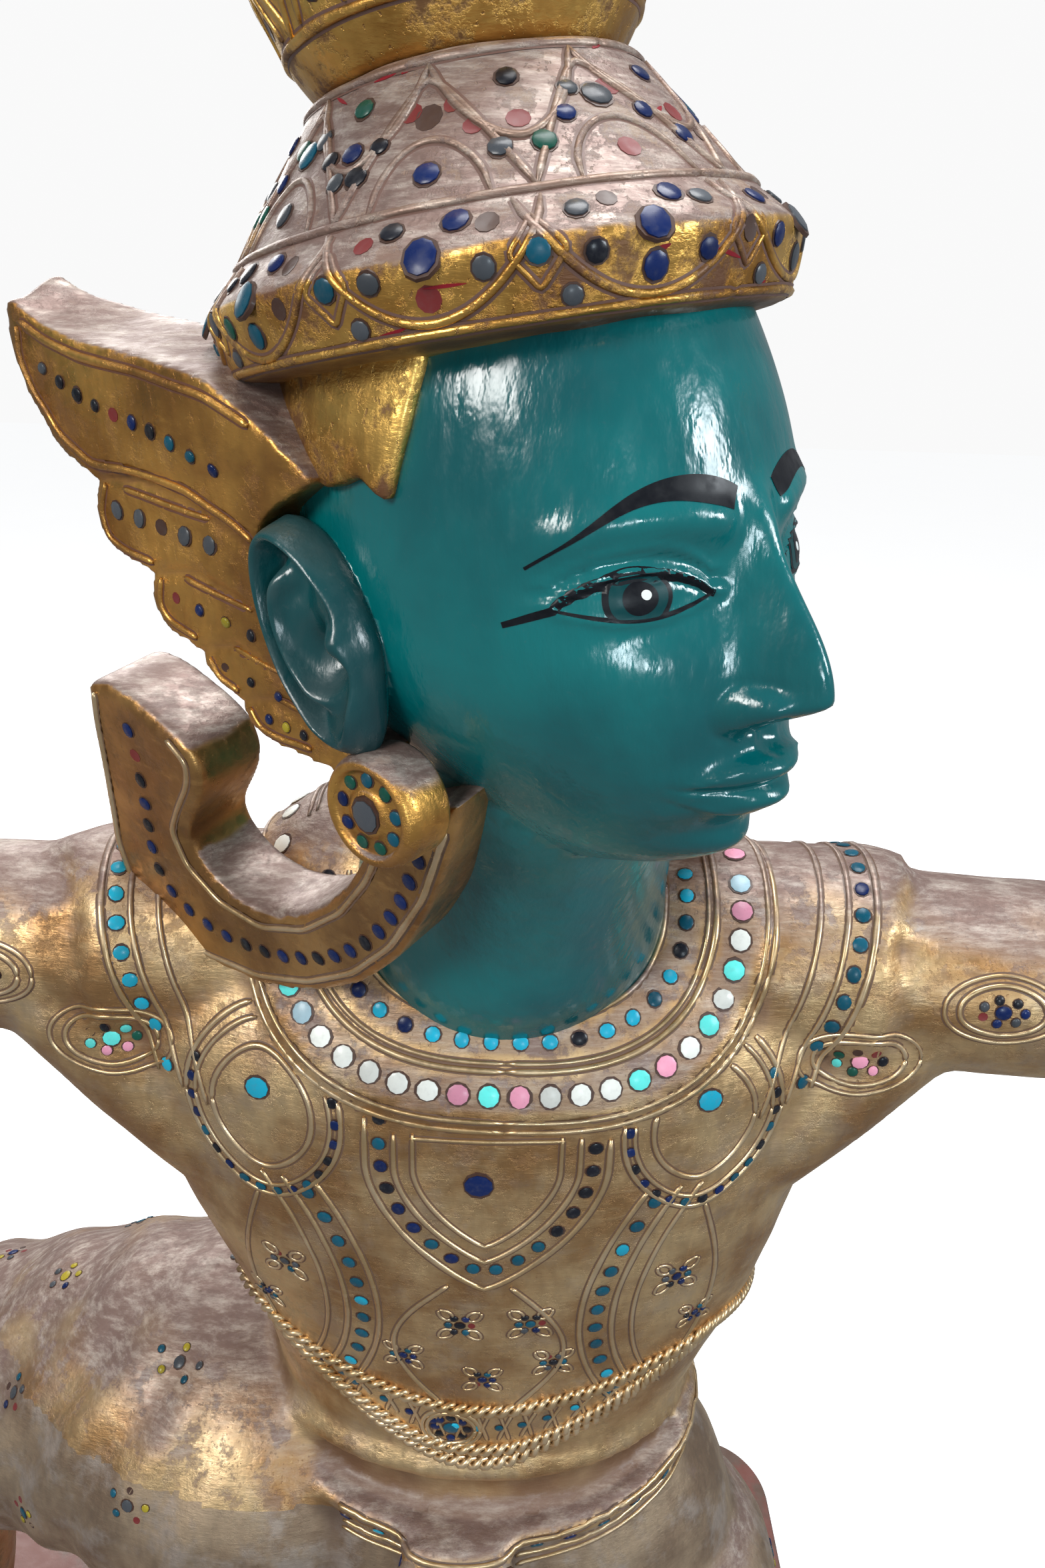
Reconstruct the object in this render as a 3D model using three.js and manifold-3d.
// A kneeling archer of carved wood, gilded and lacquered, on a low plinth.
// Millimetres, Z up. The body faces -Y, its left arm reaches along +X, and the head turns towards +X.
// The origin is the middle of the plinth's underside.

import * as THREE from 'three';
import { mergeVertices } from 'three/addons/utils/BufferGeometryUtils.js';
import Module from 'manifold-3d';

const wasm = await Module();
wasm.setup();

// Driving dimensions
const GAP = 0.3;
const CUT_ROOM = 0.7;
const BASE = { length: 880, depth: 600, height: 60, corner: 70 };
const BODY_PLACE = new THREE.Vector3(160, -95, 0);
const CROWN_RIM = { wide: 79, deep: 86.4, centre: new THREE.Vector3(-1, -86, 1108) };
const HEAD = { turn: 41.9, lift: 8.7, lean: -5.5 };
const SKULL = { front: 84, back: 82, wide: 66, up: 114, down: 97, middle: -70 };
const FACE = { brow: -67, eye: -81, nose: -117, mouth: -135, chin: -158, eyeApart: 31 };
const COLLAR = {
  x: 8, y: -25, z: 893, wide: 106, tall: 98, frontDip: 51.6, backDip: 34, power: 2.6, thick: 4,
};
const HAND_GRIP = { x: 663, y: -28, z: 866, radius: 13 };
const GRIP_LENGTH = 200;
const FINGER = { radius: 9.5, levels: [-27, -9.5, 8, 25.5], start: -60, end: 200, step: 52 };
const BOARD_THICK = 30;

// The hoops round the hips: half width, half depth, height, how far they dip in front, and thickness
const HOOP_MIDDLE = 10;
const BELT = { wide: 104, deep: 67, level: 597, dip: 0, radius: 5 };
const HEM = { wide: 109, deep: 78, level: 582, dip: 14, radius: 6 };

// The trunk from the crotch to the base of the neck: centre X, Y, Z, half width, half depth
const TRUNK = [
  [0, 12, 395, 60, 50],
  [0, 12, 410, 112, 78],
  [0, 12, 440, 138, 92],
  [0, 12, 485, 143, 94],
  [0, 11, 530, 131, 87],
  [0, 10, 560, 114, 78],
  [0, 10, 574, 104, 67],
  [0, 10, 590, 102, 64],
  [3, 8, 635, 112, 67],
  [5, 5, 690, 131, 73],
  [3, 3, 745, 147, 79],
  [0, 3, 790, 157, 81],
  [0, 3, 820, 166, 79],
  [0, 2, 850, 152, 68],
  [0, -3, 878, 108, 57],
  [2, -12, 895, 74, 48],
  [4, -14, 902, 40, 30],
];

const NECK = [
  [4, -12, 850, 54, 50],
  [7, -26, 882, 62, 56],
  [11, -42, 915, 57, 53],
  [15, -64, 952, 52, 50],
  [18, -84, 988, 49, 51],
  [16, -92, 1025, 44, 46],
];

// The fold in front of an armpit, from the side of the chest up to the shoulder
const ARMPIT = [
  [84, 2, 722, 34, 26],
  [104, 2, 750, 46, 34],
  [130, 0, 782, 48, 38],
  [160, -2, 814, 44, 38],
  [186, -3, 834, 38, 32],
];

// The left arm: sleeve, the step at its hem, the upper arm, elbow, forearm and wrist bands
const LEFT_ARM = [
  [40, 2, 846, 30, 30],
  [60, 2, 848, 42, 44],
  [105, 1, 849, 46, 47],
  [145, 0, 848, 48, 48],
  [154, -1, 847, 50, 50],
  [161, -1, 847, 49, 49],
  [163, -2, 846, 42, 43],
  [215, -5, 843, 42, 43],
  [290, -9, 842, 42, 42],
  [355, -12, 845, 39, 39],
  [405, -15, 849, 37, 38],
  [470, -18, 855, 36, 38],
  [540, -22, 860, 31, 32],
  [580, -24, 863, 28, 28],
  [583, -24, 863, 33, 33],
  [604, -25, 864, 33, 33],
  [607, -25, 864, 25, 27],
  [622, -26, 865, 22, 29],
];

// The right arm: out to the elbow, then back up towards the head
const RIGHT_ARM = [
  [-40, 2, 846, 30, 30],
  [-60, 2, 848, 42, 44],
  [-105, 1, 849, 45, 46],
  [-145, 0, 849, 46, 46],
  [-154, -1, 849, 48, 48],
  [-161, -1, 849, 47, 47],
  [-163, -2, 848, 41, 41],
  [-220, 0, 846, 40, 41],
  [-300, 5, 846, 41, 41],
  [-365, 9, 851, 39, 39],
  [-405, 8, 868, 38, 39],
  [-410, -4, 900, 36, 38],
  [-388, -26, 948, 35, 36],
  [-362, -44, 993, 30, 31],
  [-347, -53, 1019, 27, 28],
  [-345, -54, 1022, 32, 32],
  [-334, -60, 1040, 32, 32],
  [-332, -61, 1043, 25, 25],
  [-324, -65, 1056, 22, 28],
];

// The right leg: thigh level, shin upright, in cloth to the knee, then a shin guard and an ankle band
const RIGHT_THIGH = [
  [-30, 10, 488, 60, 60],
  [-90, 20, 512, 93, 95],
  [-150, 42, 522, 97, 96],
  [-210, 66, 505, 90, 88],
  [-270, 88, 482, 82, 80],
  [-330, 110, 462, 72, 72],
  [-378, 126, 450, 63, 66],
  [-405, 136, 425, 55, 60],
  [-406, 136, 394, 54, 56],
  [-405, 136, 382, 44, 46],
];
const RIGHT_SHIN = [
  [-398, 134, 430, 46, 46],
  [-403, 136, 390, 48, 48],
  [-398, 134, 364, 50, 50],
  [-396, 133, 360, 46, 46],
  [-390, 130, 305, 50, 47],
  [-388, 129, 248, 44, 41],
  [-388, 129, 190, 34, 34],
  [-388, 129, 150, 31, 31],
  [-388, 129, 146, 37, 37],
  [-388, 129, 122, 37, 37],
  [-388, 129, 118, 32, 32],
  [-390, 130, 80, 34, 34],
];
const RIGHT_FOOT = [
  [-345, 112, 80, 20, 20],
  [-356, 116, 84, 34, 40],
  [-388, 129, 90, 36, 44],
  [-430, 146, 84, 37, 38],
  [-470, 162, 76, 40, 28],
  [-505, 176, 72, 36, 22],
  [-535, 188, 76, 22, 17],
  [-556, 196, 92, 10, 12],
  [-560, 198, 104, 3, 3],
];

// The left leg kneels: thigh down, knee on the plinth, shin straight back and the toes tucked under
const LEFT_THIGH = [
  [55, 8, 480, 60, 60],
  [68, 4, 450, 96, 92],
  [80, -4, 400, 92, 92],
  [90, -14, 330, 82, 84],
  [98, -26, 260, 75, 76],
  [105, -38, 190, 68, 70],
  [110, -46, 135, 62, 66],
  [113, -42, 105, 56, 62],
  [114, -20, 92, 50, 52],
];
const LEFT_SHIN = [
  [112, -55, 108, 40, 40],
  [113, -20, 108, 50, 48],
  [114, 30, 110, 52, 50],
  [115, 36, 110, 47, 46],
  [116, 90, 112, 50, 50],
  [116, 150, 114, 46, 46],
  [117, 215, 118, 36, 37],
  [117, 250, 122, 32, 34],
  [117, 254, 122, 38, 39],
  [117, 278, 124, 38, 39],
  [117, 282, 124, 32, 34],
  [117, 305, 126, 30, 32],
];
const LEFT_FOOT = [
  [117, 322, 196, 18, 18],
  [117, 322, 186, 30, 30],
  [117, 320, 150, 34, 38],
  [117, 322, 115, 37, 30],
  [117, 322, 88, 40, 26],
  [117, 304, 72, 39, 20],
  [117, 276, 70, 30, 15],
  [117, 262, 70, 12, 8],
];

// The sash that hangs in front, between the thighs
const SASH = [
  [-8, -74, 572, 24, 6],
  [-8, -84, 545, 34, 9],
  [-8, -90, 500, 38, 9],
  [-8, -88, 440, 40, 9],
  [-10, -84, 380, 44, 9],
  [-12, -86, 320, 52, 9],
  [-14, -92, 285, 34, 8],
  [-14, -96, 262, 6, 4],
];

// The palm that closes round the grip and its thumb, as offsets from the middle of the grip
const FIST_PALM = [
  [-52, 0, 0, 22, 16],
  [-34, 6, 0, 32, 18],
  [-12, 12, 0, 40, 17],
  [4, 16, 0, 40, 14],
  [12, 18, 0, 30, 6],
];
const FIST_THUMB = [
  [-26, 16, 12, 10, 10],
  [-16, -14, 30, 11, 11],
  [6, -24, 34, 9, 9],
  [20, -16, 30, 4, 4],
];

// The open hand from its wrist: along the hand, across it, ahead of the palm, half width, half depth
const HAND_WAYS = { up: new THREE.Vector3(0.42, -0.3, 0.86), out: new THREE.Vector3(-0.9, 0, 0.44) };
const OPEN_PALM = [
  [-12, 0, 0, 18, 14],
  [8, 0, 0, 26, 15],
  [34, 0, 2, 35, 15],
  [58, 0, 3, 36, 12],
  [68, 0, 4, 28, 6],
];
const OPEN_THUMB = [
  [8, -18, 0, 11, 11],
  [30, -40, -12, 11, 11],
  [56, -42, -30, 9, 9],
  [78, -36, -44, 8, 8],
  [88, -33, -50, 3, 3],
];
const OPEN_FINGERS = { first: -27, pitch: 18, root: 58, lengths: [52, 66, 70, 60], bends: [52, 26, 16, 10] };

// The gilt tab in front of an ear, forward and up from the crown's rim, and how proud it stands
const TEMPLE_TAB = [[34, -8], [33, -20], [29, -34], [22, -51], [12, -35], [-4, -20], [-12, -8]];
const TAB_PROUD = 4;

// The plinth's levels: how far its sides are set in, and the height
const PLINTH_LEVELS = [[0, 0], [0, 20], [6, 24], [15, 40], [8, 46], [8, BASE.height]];
const PLINTH_CORNER_STEPS = 4;

// The wide crown tier: share of the rim's size, and height from the rim
const CROWN_TIER = [
  [0, -22],
  [0.5, -22],
  [0.94, -17],
  [1, 0],
  [0.87, 10],
  [0.52, 47],
  [0, 47],
];

// The spire on the wide tier: radius and height from the rim
const SPIRE = [
  [0, 47 + GAP],
  [40, 47 + GAP],
  [46, 56],
  [52, 72],
  [55, 90],
  [49, 96],
  [41, 100],
  [44, 110],
  [43, 117],
  [34, 121],
  [36, 131],
  [34, 138],
  [26, 143],
  [28, 152],
  [26, 158],
  [18, 164],
  [20, 174],
  [12, 184],
  [13, 196],
  [7, 206],
  [6, 230],
  [0, 262],
];

// The ear: centre forward and up, half sizes, how far it leans back, and how far it stands out sideways
const EAR = { forward: -7, up: -84, wide: 18, tall: 34, lean: 20, out: 71, thick: 10 };

// The boards stand away from the head towards the back, at this angle, and the ear lies this far forward on them
const BOARD_SPLAY = THREE.MathUtils.degToRad(10);
const EAR_ON_BOARD = -19;

// The ear board in its own plane: forward, up. The wing, then its hanging lobes down to the rosette
const WING_OUTLINE = [
  [-12, -44], [-24, -30], [-45, -14], [-75, -4], [-100, 3], [-118, 11], [-129, 20],
  [-134, 8], [-131, -10], [-122, -26], [-107, -36], [-113, -44], [-113, -53], [-105, -60], [-90, -65],
  [-95, -73], [-92, -82], [-76, -89], [-74, -97], [-62, -104], [-60, -112], [-50, -117], [-38, -120],
  [-20, -124],
];
const ROSETTE = { forward: -9, up: -132, radius: 17, thick: 16, proud: 5 };
const WING_SIDE = 72;

// The curl in its own leaning plane: forward, up from below the ear
const CURL_OUTLINE = [
  [8, -4], [-1, -21], [-19, -46], [-40, -68], [-64, -84], [-92, -95], [-124, -100], [-155, -97], [-180, -86],
  [-194, -69], [-190, -42], [-177, -14], [-167, 10], [-160, 28], [-140, 24], [-124, 13], [-112, 4],
  [-110, -6], [-116, -17], [-127, -27], [-137, -34], [-136, -46], [-126, -57], [-109, -63], [-84, -60],
  [-60, -47], [-42, -32], [-32, -14],
];
const CURL = { side: -60, up: -130, lean: 8, leanFar: -16, farSide: 84 };

// The bow: X before the grip, Z from the grip, half width, half depth
const BOW = [
  [-118, -432, 2, 2],
  [-116, -425, 7, 7],
  [-128, -398, 9, 9],
  [-122, -350, 10, 10],
  [-80, -270, 12, 11],
  [-36, -190, 13, 12],
  [-12, -110, 14, 12],
  [-2, -62, 15, 13],
  [0, -48, 13, 13],
  [0, 0, 13, 13],
  [0, 48, 13, 13],
  [-2, 62, 15, 13],
  [-12, 110, 14, 12],
  [-36, 190, 13, 12],
  [-80, 270, 12, 11],
  [-122, 350, 10, 10],
  [-128, 398, 9, 9],
  [-116, 425, 7, 7],
  [-118, 432, 2, 2],
];

const X_WAY = new THREE.Vector3(1, 0, 0);
const THIGH_WAY = new THREE.Vector3(0.4, 1, 0);
const Y_WAY = new THREE.Vector3(0, 1, 0);
const Z_WAY = new THREE.Vector3(0, 0, 1);

const GOLD = { color: 0xb07a2c, roughness: 0.38, metalness: 0.75 };
const MATERIALS = {
  figure: GOLD,
  crown_spire: GOLD,
  ear_wing: { color: 0xa8742e, roughness: 0.42, metalness: 0.7 },
  shoulder_curl: { color: 0x96683a, roughness: 0.45, metalness: 0.6 },
  bow: { color: 0x8c5a24, roughness: 0.4, metalness: 0.6 },
  base: { color: 0x5b2f1c, roughness: 0.55, metalness: 0.1 },
};

// A row of a table at a place between its rows, on a smooth curve through them
function between(table, place) {
  const last = table.length - 1;
  const index = Math.min(Math.floor(place), last - 1);
  const t = place - index;
  const row = (offset) => table[THREE.MathUtils.clamp(index + offset, 0, last)];
  return table[0].map((_, column) => {
    const [a, b, c, d] = [-1, 0, 1, 2].map((offset) => row(offset)[column]);
    return b + 0.5 * t * (c - a + t * (2 * a - 5 * b + 4 * c - d + t * (3 * (b - c) + d - a)));
  });
}

// A rise from 0 to 1 as value goes from start to end
function rise(value, start, end) {
  return THREE.MathUtils.smoothstep((value - start) / (end - start), 0, 1);
}

// A rounded hill, 1 at its top
function hill(distance, spread) {
  return Math.exp(-((distance / spread) ** 2));
}

// A closed skin over a row of rings with equally many points. A loop joins the last ring to the first
function skin(rings, loop = false) {
  const sides = rings[0].length;
  const points = rings.flat();
  const faces = [];
  const spans = loop ? rings.length : rings.length - 1;
  for (let ring = 0; ring < spans; ring += 1) {
    const next = (ring + 1) % rings.length;
    for (let side = 0; side < sides; side += 1) {
      const beside = (side + 1) % sides;
      const [a, b] = [ring * sides + side, ring * sides + beside];
      const [c, d] = [next * sides + side, next * sides + beside];
      faces.push(a, b, d, a, d, c);
    }
  }
  if (!loop) {
    [0, rings.length - 1].forEach((ring) => {
      const middle = rings[ring].reduce((sum, point) => sum.add(point), new THREE.Vector3());
      points.push(middle.divideScalar(sides));
      for (let side = 0; side < sides; side += 1) {
        const [a, b] = [ring * sides + side, ring * sides + ((side + 1) % sides)];
        faces.push(points.length - 1, ...(ring === 0 ? [b, a] : [a, b]));
      }
    });
  }
  const geometry = new THREE.BufferGeometry().setFromPoints(points);
  geometry.setIndex(faces);
  return outward(geometry);
}

// Turns every face of a closed skin outwards, judged by its volume
function outward(geometry) {
  const place = geometry.getAttribute('position');
  const index = geometry.getIndex();
  const corner = [new THREE.Vector3(), new THREE.Vector3(), new THREE.Vector3()];
  let volume = 0;
  for (let face = 0; face < index.count; face += 3) {
    corner.forEach((point, k) => point.fromBufferAttribute(place, index.getX(face + k)));
    volume += corner[0].dot(corner[1].clone().cross(corner[2]));
  }
  if (volume < 0) {
    geometry.setIndex(Array.from(index.array).reverse());
  }
  return geometry;
}

// A round body along a table of centre X, Y, Z, half width across `side`, half depth
function limb(table, sides, side, steps = 1) {
  const last = table.length - 1;
  const rings = [];
  for (let step = 0; step <= last * steps; step += 1) {
    const place = step / steps;
    const [x, y, z, wide, deep] = between(table, place);
    const ahead = between(table, Math.min(place + 0.5, last));
    const behind = between(table, Math.max(place - 0.5, 0));
    const along = new THREE.Vector3(...ahead).sub(new THREE.Vector3(...behind)).normalize();
    const across = side.clone().addScaledVector(along, -side.dot(along)).normalize();
    const deepways = along.clone().cross(across);
    const ring = [];
    for (let k = 0; k < sides; k += 1) {
      const angle = (2 * Math.PI * k) / sides;
      const point = new THREE.Vector3(x, y, z);
      point.addScaledVector(across, wide * Math.cos(angle));
      point.addScaledVector(deepways, deep * Math.sin(angle));
      ring.push(point);
    }
    rings.push(ring);
  }
  return skin(rings);
}

// A geometry as a solid that can be joined and cut
function solid(geometry) {
  const bare = geometry.clone();
  bare.deleteAttribute('normal');
  bare.deleteAttribute('uv');
  const merged = mergeVertices(bare, 1e-4);
  return new wasm.Manifold(new wasm.Mesh({
    numProp: 3,
    vertProperties: Float32Array.from(merged.getAttribute('position').array),
    triVerts: Uint32Array.from(merged.getIndex().array),
  }));
}

// A solid as a geometry again
function shape(body) {
  const { vertProperties, triVerts } = body.getMesh();
  const geometry = new THREE.BufferGeometry();
  geometry.setAttribute('position', new THREE.BufferAttribute(Float32Array.from(vertProperties), 3));
  geometry.setIndex(Array.from(triVerts));
  geometry.computeVertexNormals();
  return geometry;
}

// The same surface moved outwards all over
function swell(geometry, distance) {
  const bare = geometry.clone();
  bare.deleteAttribute('uv');
  bare.deleteAttribute('normal');
  const merged = mergeVertices(bare, 1e-4);
  merged.computeVertexNormals();
  const place = merged.getAttribute('position');
  const normal = merged.getAttribute('normal');
  const point = new THREE.Vector3();
  const way = new THREE.Vector3();
  for (let k = 0; k < place.count; k += 1) {
    way.fromBufferAttribute(normal, k);
    point.fromBufferAttribute(place, k).addScaledVector(way, distance);
    place.setXYZ(k, point.x, point.y, point.z);
  }
  return merged;
}

function joined(solids) {
  return solids.reduce((whole, piece) => whole.add(piece));
}

// The main piece of a board that a cut has parted, without the slivers
function mainPiece(body) {
  return body.decompose().reduce((best, piece) => (piece.volume() > best.volume() ? piece : best));
}

// The head's own frame: X forward from the face, Y to its left, Z up, from the middle of the crown's rim
function headFrame() {
  const [turn, lift, lean] = [HEAD.turn, HEAD.lift, HEAD.lean].map(THREE.MathUtils.degToRad);
  const ahead = new THREE.Vector3(Math.sin(turn), -Math.cos(turn), 0);
  const left = new THREE.Vector3(Math.cos(turn), Math.sin(turn), 0);
  const forward = ahead.clone().multiplyScalar(Math.cos(lift)).addScaledVector(Z_WAY, Math.sin(lift));
  const lifted = Z_WAY.clone().multiplyScalar(Math.cos(lift)).addScaledVector(ahead, -Math.sin(lift));
  const side = left.clone().multiplyScalar(Math.cos(lean)).addScaledVector(lifted, -Math.sin(lean));
  const top = lifted.clone().multiplyScalar(Math.cos(lean)).addScaledVector(left, Math.sin(lean));
  return new THREE.Matrix4().makeBasis(forward, side, top).setPosition(CROWN_RIM.centre);
}

// How far the face stands forward of the plain skull, at a place across and up
function faceRelief(y, z) {
  const across = Math.abs(y);
  const ridge = rise(z, FACE.brow + 4, FACE.nose + 6);
  const bridge = hill(y, 5.5 + 3.5 * ridge) * (4 + 16 * ridge);
  const nose = bridge * rise(z, FACE.nose - 4, FACE.nose + 5) * (1 - rise(z, FACE.brow - 2, FACE.brow + 14));
  const wings = 6 * hill(across - 11, 4.6) * hill(z - FACE.nose - 4.5, 5);
  const socket = -9 * hill(across - FACE.eyeApart + 3, 17) * hill(z - FACE.eye, 11);
  const lids = 7 * hill(across - FACE.eyeApart, 13) * hill(z - FACE.eye, 7);
  const browLine = FACE.brow + 5 * hill(across - 34, 20);
  const brow = 3 * hill(z - browLine, 5) * rise(across, 6, 14) * (1 - rise(across, 44, 56));
  const upperLip = 8 * hill(across, 18) * hill(z - FACE.mouth - 4, 4.5);
  const lowerLip = 8.5 * hill(across, 16) * hill(z - FACE.mouth + 5, 4.5);
  const hollow = -4 * hill(across, 16) * hill(z - FACE.mouth + 14, 5);
  const chin = 11 * hill(across, 19) * hill(z - FACE.chin, 12);
  return nose + wings + socket + lids + brow + upperLip + lowerLip + hollow + chin;
}

// A point of the head, at an angle down from its top and an angle round from its face
function headPoint(down, round, carved) {
  const { front, back, wide, up, middle } = SKULL;
  const level = Math.cos(down);
  const power = level > 0 ? 2 : 2.6;
  const reach = (1 - Math.abs(level) ** power) ** (1 / power);
  const z = middle + level * (level > 0 ? up : SKULL.down);
  const jaw = rise(-z, 88, 165);
  const y = reach * wide * Math.sin(round) * (1 - 0.34 * jaw);
  const ahead = Math.cos(round);
  const nape = 1 - 0.5 * rise(-z, 95, 160);
  const x = reach * ahead * (ahead > 0 ? front : back * nape) + 8 * jaw;
  const facing = carved ? rise(ahead, 0.15, 0.6) * rise(reach, 0.1, 0.5) : 0;
  return new THREE.Vector3(x + facing * faceRelief(y, z), y, z);
}

// The head as rings from crown to chin, closer together on the face
function head(rings, sides, carved = true) {
  const rows = [];
  for (let ring = 1; ring < rings; ring += 1) {
    const down = Math.PI * (ring / rings) ** 0.8;
    const row = [];
    for (let k = 0; k < sides; k += 1) {
      const turn = (2 * Math.PI * k) / sides;
      row.push(headPoint(down, turn - 0.5 * Math.sin(turn), carved));
    }
    rows.push(row);
  }
  return skin(rows);
}

// An ear: a flattened, backward leaning oval with a bowl sunk into it
function ear(side) {
  const plate = new THREE.SphereGeometry(1, 10, 7).scale(EAR.wide, EAR.thick, EAR.tall);
  const bowl = new THREE.SphereGeometry(1, 7, 5).scale(EAR.wide / 2, 0.7 * EAR.thick, 0.6 * EAR.tall);
  const place = new THREE.Matrix4().makeRotationY(THREE.MathUtils.degToRad(-EAR.lean));
  place.setPosition(EAR.forward, side * EAR.out, EAR.up);
  const rim = solid(plate.applyMatrix4(place));
  const sunk = bowl.translate(1, side * 1.1 * EAR.thick, 1).applyMatrix4(place);
  return rim.subtract(solid(sunk));
}

// A point on the ear's outline with some room round it, at an angle from its front edge
function earEdge(degrees, room) {
  const angle = THREE.MathUtils.degToRad(degrees);
  const edge = new THREE.Vector2((EAR.wide + room) * Math.cos(angle), (EAR.tall + room) * Math.sin(angle));
  edge.rotateAround(new THREE.Vector2(), THREE.MathUtils.degToRad(EAR.lean));
  return [edge.x + EAR_ON_BOARD, edge.y + EAR.up];
}

// The crown's wide tier, an oval cone over a gilt band
function crownTier() {
  const profile = CROWN_TIER.map(([share, height]) => new THREE.Vector2(share, height));
  const turned = new THREE.LatheGeometry(profile, 22);
  turned.rotateX(Math.PI / 2);
  return turned.scale(CROWN_RIM.deep, CROWN_RIM.wide, 1);
}

// A flat shape in the head's side plane, as thick as wanted, from its outer face inwards
function board(outline, thick) {
  const curve = new THREE.Shape(outline.map(([forward, up]) => new THREE.Vector2(forward, up)));
  const plate = new THREE.ExtrudeGeometry(curve, { depth: thick, bevelEnabled: false });
  return plate.rotateX(Math.PI / 2).scale(1, -1, 1);
}

// Scaling by a minus sign turns a skin inside out, so its faces are turned back
function mirrored(geometry) {
  geometry.scale(1, -1, 1);
  return flipped(geometry);
}

function flipped(geometry) {
  const bare = geometry.clone();
  bare.deleteAttribute('normal');
  bare.deleteAttribute('uv');
  const merged = mergeVertices(bare, 1e-4);
  return outward(merged);
}

// A hoop round the body: a thin round bar along a closed path
function hoop(path, radius, steps, sides) {
  const rings = [];
  for (let step = 0; step < steps; step += 1) {
    const angle = (2 * Math.PI * step) / steps;
    const centre = path(angle);
    const out = new THREE.Vector3(Math.cos(angle), Math.sin(angle), 0);
    const ring = [];
    for (let k = 0; k < sides; k += 1) {
      const turn = (2 * Math.PI * k) / sides;
      const point = centre.clone().addScaledVector(out, radius * Math.cos(turn));
      point.z += radius * Math.sin(turn);
      ring.push(point);
    }
    rings.push(ring);
  }
  return skin(rings, true);
}

// The fingers that close round the bow's grip, and the palm and the thumb from the other side
function fist() {
  const { x, y, z, radius } = HAND_GRIP;
  const reach = radius + 0.9 * FINGER.radius;
  const fingers = FINGER.levels.map((level) => {
    const table = [];
    for (let degrees = FINGER.start; degrees <= FINGER.end; degrees += FINGER.step) {
      const angle = THREE.MathUtils.degToRad(degrees);
      const place = [x + reach * Math.cos(angle), y + reach * Math.sin(angle), z + level];
      table.push([...place, FINGER.radius, FINGER.radius]);
    }
    return solid(limb(table, 6, Z_WAY));
  });
  const placed = (table) => table.map(([dx, dy, dz, ...half]) => [x + dx, y + dy, z + dz, ...half]);
  return joined([
    solid(limb(placed(FIST_PALM), 8, Z_WAY)),
    solid(limb(placed(FIST_THUMB), 7, Z_WAY)),
    ...fingers,
  ]);
}

// The open right hand, just after the string has left it: finger and thumb almost meet
function openHand() {
  const up = HAND_WAYS.up.normalize();
  const out = HAND_WAYS.out.normalize();
  const front = up.clone().cross(out).normalize();
  const wrist = new THREE.Vector3(...RIGHT_ARM[RIGHT_ARM.length - 1]);
  const placed = (table) => table.map(([along, across, ahead, ...half]) => {
    const place = wrist.clone().addScaledVector(up, along).addScaledVector(out, across);
    return [...place.addScaledVector(front, ahead).toArray(), ...half];
  });
  const { first, pitch, root, lengths, bends } = OPEN_FINGERS;
  const fingers = lengths.map((length, k) => {
    const across = first + pitch * k;
    const bend = bends[k];
    return solid(limb(placed([
      [root - 8, across, 2, 9, 9],
      [root + 2 + length * 0.3, across * 1.05, 3 - bend * 0.2, 9, 9],
      [root + 2 + length * 0.65, across * 1.08, 3 - bend * 0.55, 8, 8],
      [root + length * 0.88, across * 1.08, 2 - bend * 0.95, 7, 7],
      [root - 2 + length, across * 1.08, -bend * 1.15, 2.5, 2.5],
    ]), 6, out));
  });
  return joined([
    solid(limb(placed(OPEN_PALM), 8, out)),
    solid(limb(placed(OPEN_THUMB), 6, out)),
    ...fingers,
  ]);
}

// One half of the collar's outline, a flattened ring in a plane that dips away from the neck, drawn out
// into a slab that reaches well above and below the shoulders
function collarSlab(way, dip) {
  const { x, y, z, wide, tall, power } = COLLAR;
  const reach = 60;
  const steps = 10;
  const angle = THREE.MathUtils.degToRad(dip);
  const down = new THREE.Vector3(0, way * Math.cos(angle), -Math.sin(angle));
  const out = new THREE.Vector3(0, way * Math.sin(angle), Math.cos(angle));
  const rings = [-reach, reach].map((height) => {
    const ring = [];
    for (let step = 0; step <= steps; step += 1) {
      const turn = (Math.PI * step) / steps - Math.PI / 2;
      const across = Math.sign(Math.sin(turn)) * Math.abs(Math.sin(turn)) ** (2 / power);
      const place = new THREE.Vector3(x + wide * across, y, z);
      place.addScaledVector(down, tall * Math.cos(turn) ** (2 / power));
      ring.push(place.addScaledVector(out, height));
    }
    ring.push(new THREE.Vector3(x, y, z).addScaledVector(out, height));
    return ring;
  });
  const half = new THREE.BoxGeometry(400, 200, 400).translate(x, y + way * 100, z);
  return solid(skin(rings)).intersect(solid(half));
}

// The raised collar: a thicker skin of the trunk, kept only inside the collar's outline
function collar(trunk) {
  const slabs = [collarSlab(-1, COLLAR.frontDip), collarSlab(1, COLLAR.backDip)];
  return solid(swell(trunk, COLLAR.thick)).intersect(joined(slabs));
}

// The gilt temple tabs that run down from the crown's band in front of the ears
function templeTabs(skull) {
  const tab = board(TEMPLE_TAB, 2 * SKULL.wide + 20);
  tab.translate(0, -SKULL.wide - 10, 0);
  return solid(swell(skull, TAB_PROUD)).intersect(solid(flipped(tab)));
}

// A hoop's middle line round the hips at an angle, from its named sizes
function hoopPath({ wide, deep, level, dip }) {
  return (angle) => new THREE.Vector3(
    wide * Math.cos(angle),
    HOOP_MIDDLE + deep * Math.sin(angle),
    level + dip * Math.sin(angle),
  );
}

function headSolids() {
  const skull = head(22, 22);
  return [
    solid(skull),
    solid(crownTier()),
    ear(-1),
    ear(1),
    templeTabs(skull),
  ];
}

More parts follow.
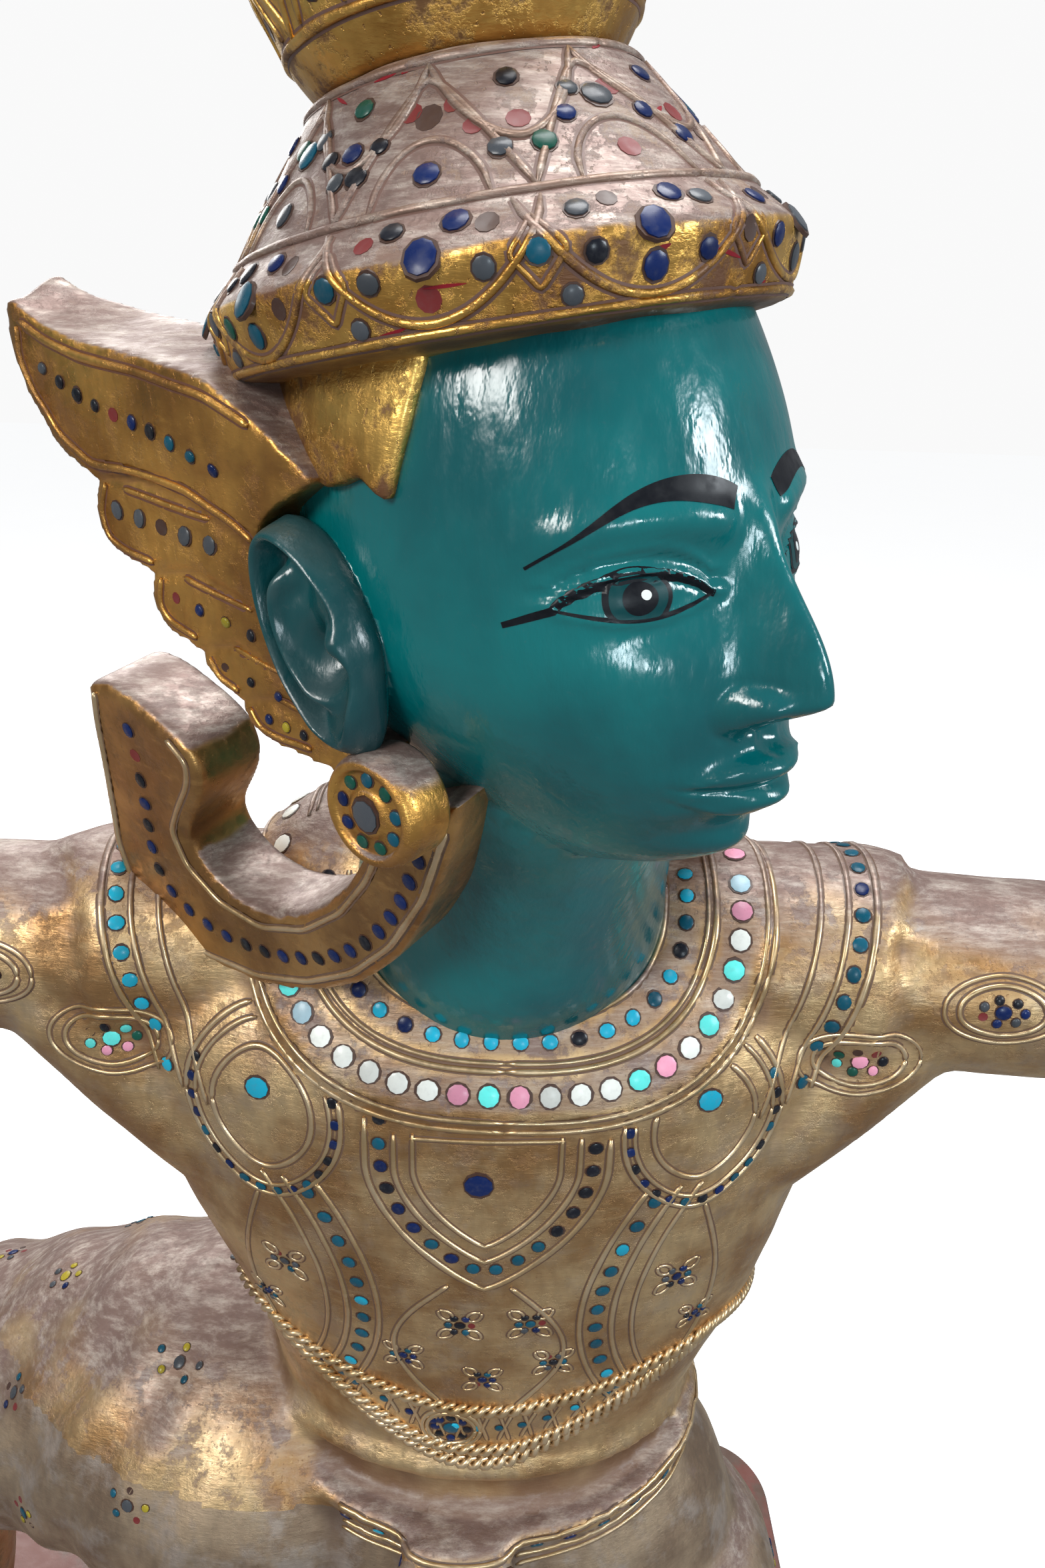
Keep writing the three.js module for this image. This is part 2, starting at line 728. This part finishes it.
function figureSolid(frame) {
  const trunk = limb(TRUNK, 18, X_WAY);
  const farArmpit = ARMPIT.map(([across, ...rest]) => [-across, ...rest]);
  const floorCut = new THREE.BoxGeometry(2 * BASE.length, 2 * BASE.length, BASE.height);
  floorCut.translate(0, 0, BASE.height / 2 + GAP);
  const { x, y, z, radius } = HAND_GRIP;
  const grip = new THREE.CylinderGeometry(radius + GAP, radius + GAP, GRIP_LENGTH, 16);
  grip.rotateX(Math.PI / 2).translate(x, y, z);
  const neck = limb(NECK, 12, X_WAY);
  const parts = [
    solid(trunk),
    collar(trunk),
    solid(hoop(hoopPath(BELT), BELT.radius, 20, 4)),
    solid(hoop(hoopPath(HEM), HEM.radius, 20, 4)),
    solid(neck),
    solid(limb(ARMPIT, 8, Y_WAY)),
    solid(limb(farArmpit, 8, Y_WAY)),
    solid(limb(LEFT_ARM, 10, Z_WAY)),
    solid(limb(RIGHT_ARM, 10, Y_WAY)),
    solid(limb(RIGHT_THIGH, 12, THIGH_WAY)),
    solid(limb(RIGHT_SHIN, 10, X_WAY)),
    solid(limb(RIGHT_FOOT, 10, THIGH_WAY)),
    solid(limb(LEFT_THIGH, 12, X_WAY)),
    solid(limb(LEFT_SHIN, 10, X_WAY)),
    solid(limb(LEFT_FOOT, 10, X_WAY)),
    solid(limb(SASH, 8, X_WAY)),
    fist(),
    openHand(),
    ...headSolids().map((piece) => solid(shape(piece).applyMatrix4(frame))),
  ];
  const whole = joined(parts.map((piece) => solid(shape(piece).translate(...BODY_PLACE))));
  floorCut.translate(...BODY_PLACE);
  grip.translate(...BODY_PLACE);
  return whole.subtract(solid(floorCut)).subtract(solid(grip));
}

function bow() {
  const { x, y, z } = HAND_GRIP;
  const table = BOW.map(([before, up, wide, deep]) => [x + before, y, z + up, deep, wide]);
  return limb(table, 6, Y_WAY);
}

function spire() {
  const profile = SPIRE.map(([radius, height]) => new THREE.Vector2(radius, height));
  return new THREE.LatheGeometry(profile, 12).rotateX(Math.PI / 2);
}

// The curl, leaning so that its foot goes in towards the collar. On the far side it leans out instead
function curl(far) {
  const plate = flipped(board(CURL_OUTLINE, BOARD_THICK));
  plate.rotateX(THREE.MathUtils.degToRad(far ? CURL.leanFar : CURL.lean));
  plate.translate(0, CURL.side, CURL.up).rotateZ(BOARD_SPLAY);
  if (far) {
    return mirrored(plate).translate(0, CURL.farSide + CURL.side, 0);
  }
  return plate;
}

// The ear board: wing, lobes and rosette in one, with its front edge following the back of the ear
function wing(far) {
  const outline = [...WING_OUTLINE];
  for (let degrees = 258; degrees >= 98; degrees -= 20) {
    outline.push(earEdge(degrees, 2));
  }
  const plate = flipped(board(outline, BOARD_THICK)).translate(0, -WING_SIDE, 0);
  const { forward, up, radius, thick, proud } = ROSETTE;
  const boss = new THREE.CylinderGeometry(radius, radius, thick, 16);
  boss.translate(forward, thick / 2 - WING_SIDE - proud, up);
  const whole = shape(solid(plate).add(solid(boss))).rotateZ(BOARD_SPLAY);
  return far ? mirrored(whole) : whole;
}

// A moulded plinth with rounded corners
function plinth() {
  const perCorner = PLINTH_CORNER_STEPS;
  const rings = PLINTH_LEVELS.map(([inset, height]) => {
    const ring = [];
    [[1, 1], [-1, 1], [-1, -1], [1, -1]].forEach(([sideX, sideY], quarter) => {
      for (let k = 0; k <= perCorner; k += 1) {
        const angle = (Math.PI / 2) * (quarter + k / perCorner);
        const radius = BASE.corner - inset;
        const x = sideX * (BASE.length / 2 - BASE.corner) + radius * Math.cos(angle);
        const y = sideY * (BASE.depth / 2 - BASE.corner) + radius * Math.sin(angle);
        ring.push(new THREE.Vector3(x, y, height));
      }
    });
    return ring;
  });
  return skin(rings);
}

function node(name, geometry, look) {
  geometry.computeVertexNormals();
  const mesh = new THREE.Mesh(geometry, new THREE.MeshStandardMaterial(look));
  mesh.name = name;
  return mesh;
}

const frame = headFrame();
const placedFrame = new THREE.Matrix4().makeTranslation(BODY_PLACE).multiply(frame);
const figure = figureSolid(frame);
const figureInHead = swell(shape(figure).applyMatrix4(placedFrame.clone().invert()), CUT_ROOM);
const headInHead = joined([
  solid(swell(head(10, 14, false), 3)),
  solid(swell(crownTier(), 2 * CUT_ROOM)),
]);

const statue = new THREE.Group();
statue.add(node('figure', shape(figure), MATERIALS.figure));
statue.add(node('base', plinth(), MATERIALS.base));
statue.add(node('bow', bow().translate(...BODY_PLACE), MATERIALS.bow));

// The crown's spire and the boards turn with the head
const headGroup = new THREE.Group();
headGroup.applyMatrix4(placedFrame);
headGroup.add(node('crown_spire', spire(), MATERIALS.crown_spire));
[['right', false], ['left', true]].forEach(([side, far]) => {
  const wingSolid = mainPiece(solid(wing(far)).subtract(headInHead).subtract(solid(figureInHead)));
  const wingSwollen = swell(wing(far), 2 * CUT_ROOM);
  const curlCut = solid(curl(far)).subtract(solid(figureInHead)).subtract(solid(wingSwollen));
  const curlSolid = mainPiece(curlCut);
  headGroup.add(node(`ear_wing_${side}`, shape(wingSolid), MATERIALS.ear_wing));
  headGroup.add(node(`shoulder_curl_${side}`, shape(curlSolid), MATERIALS.shoulder_curl));
});
statue.add(headGroup);

export default statue;
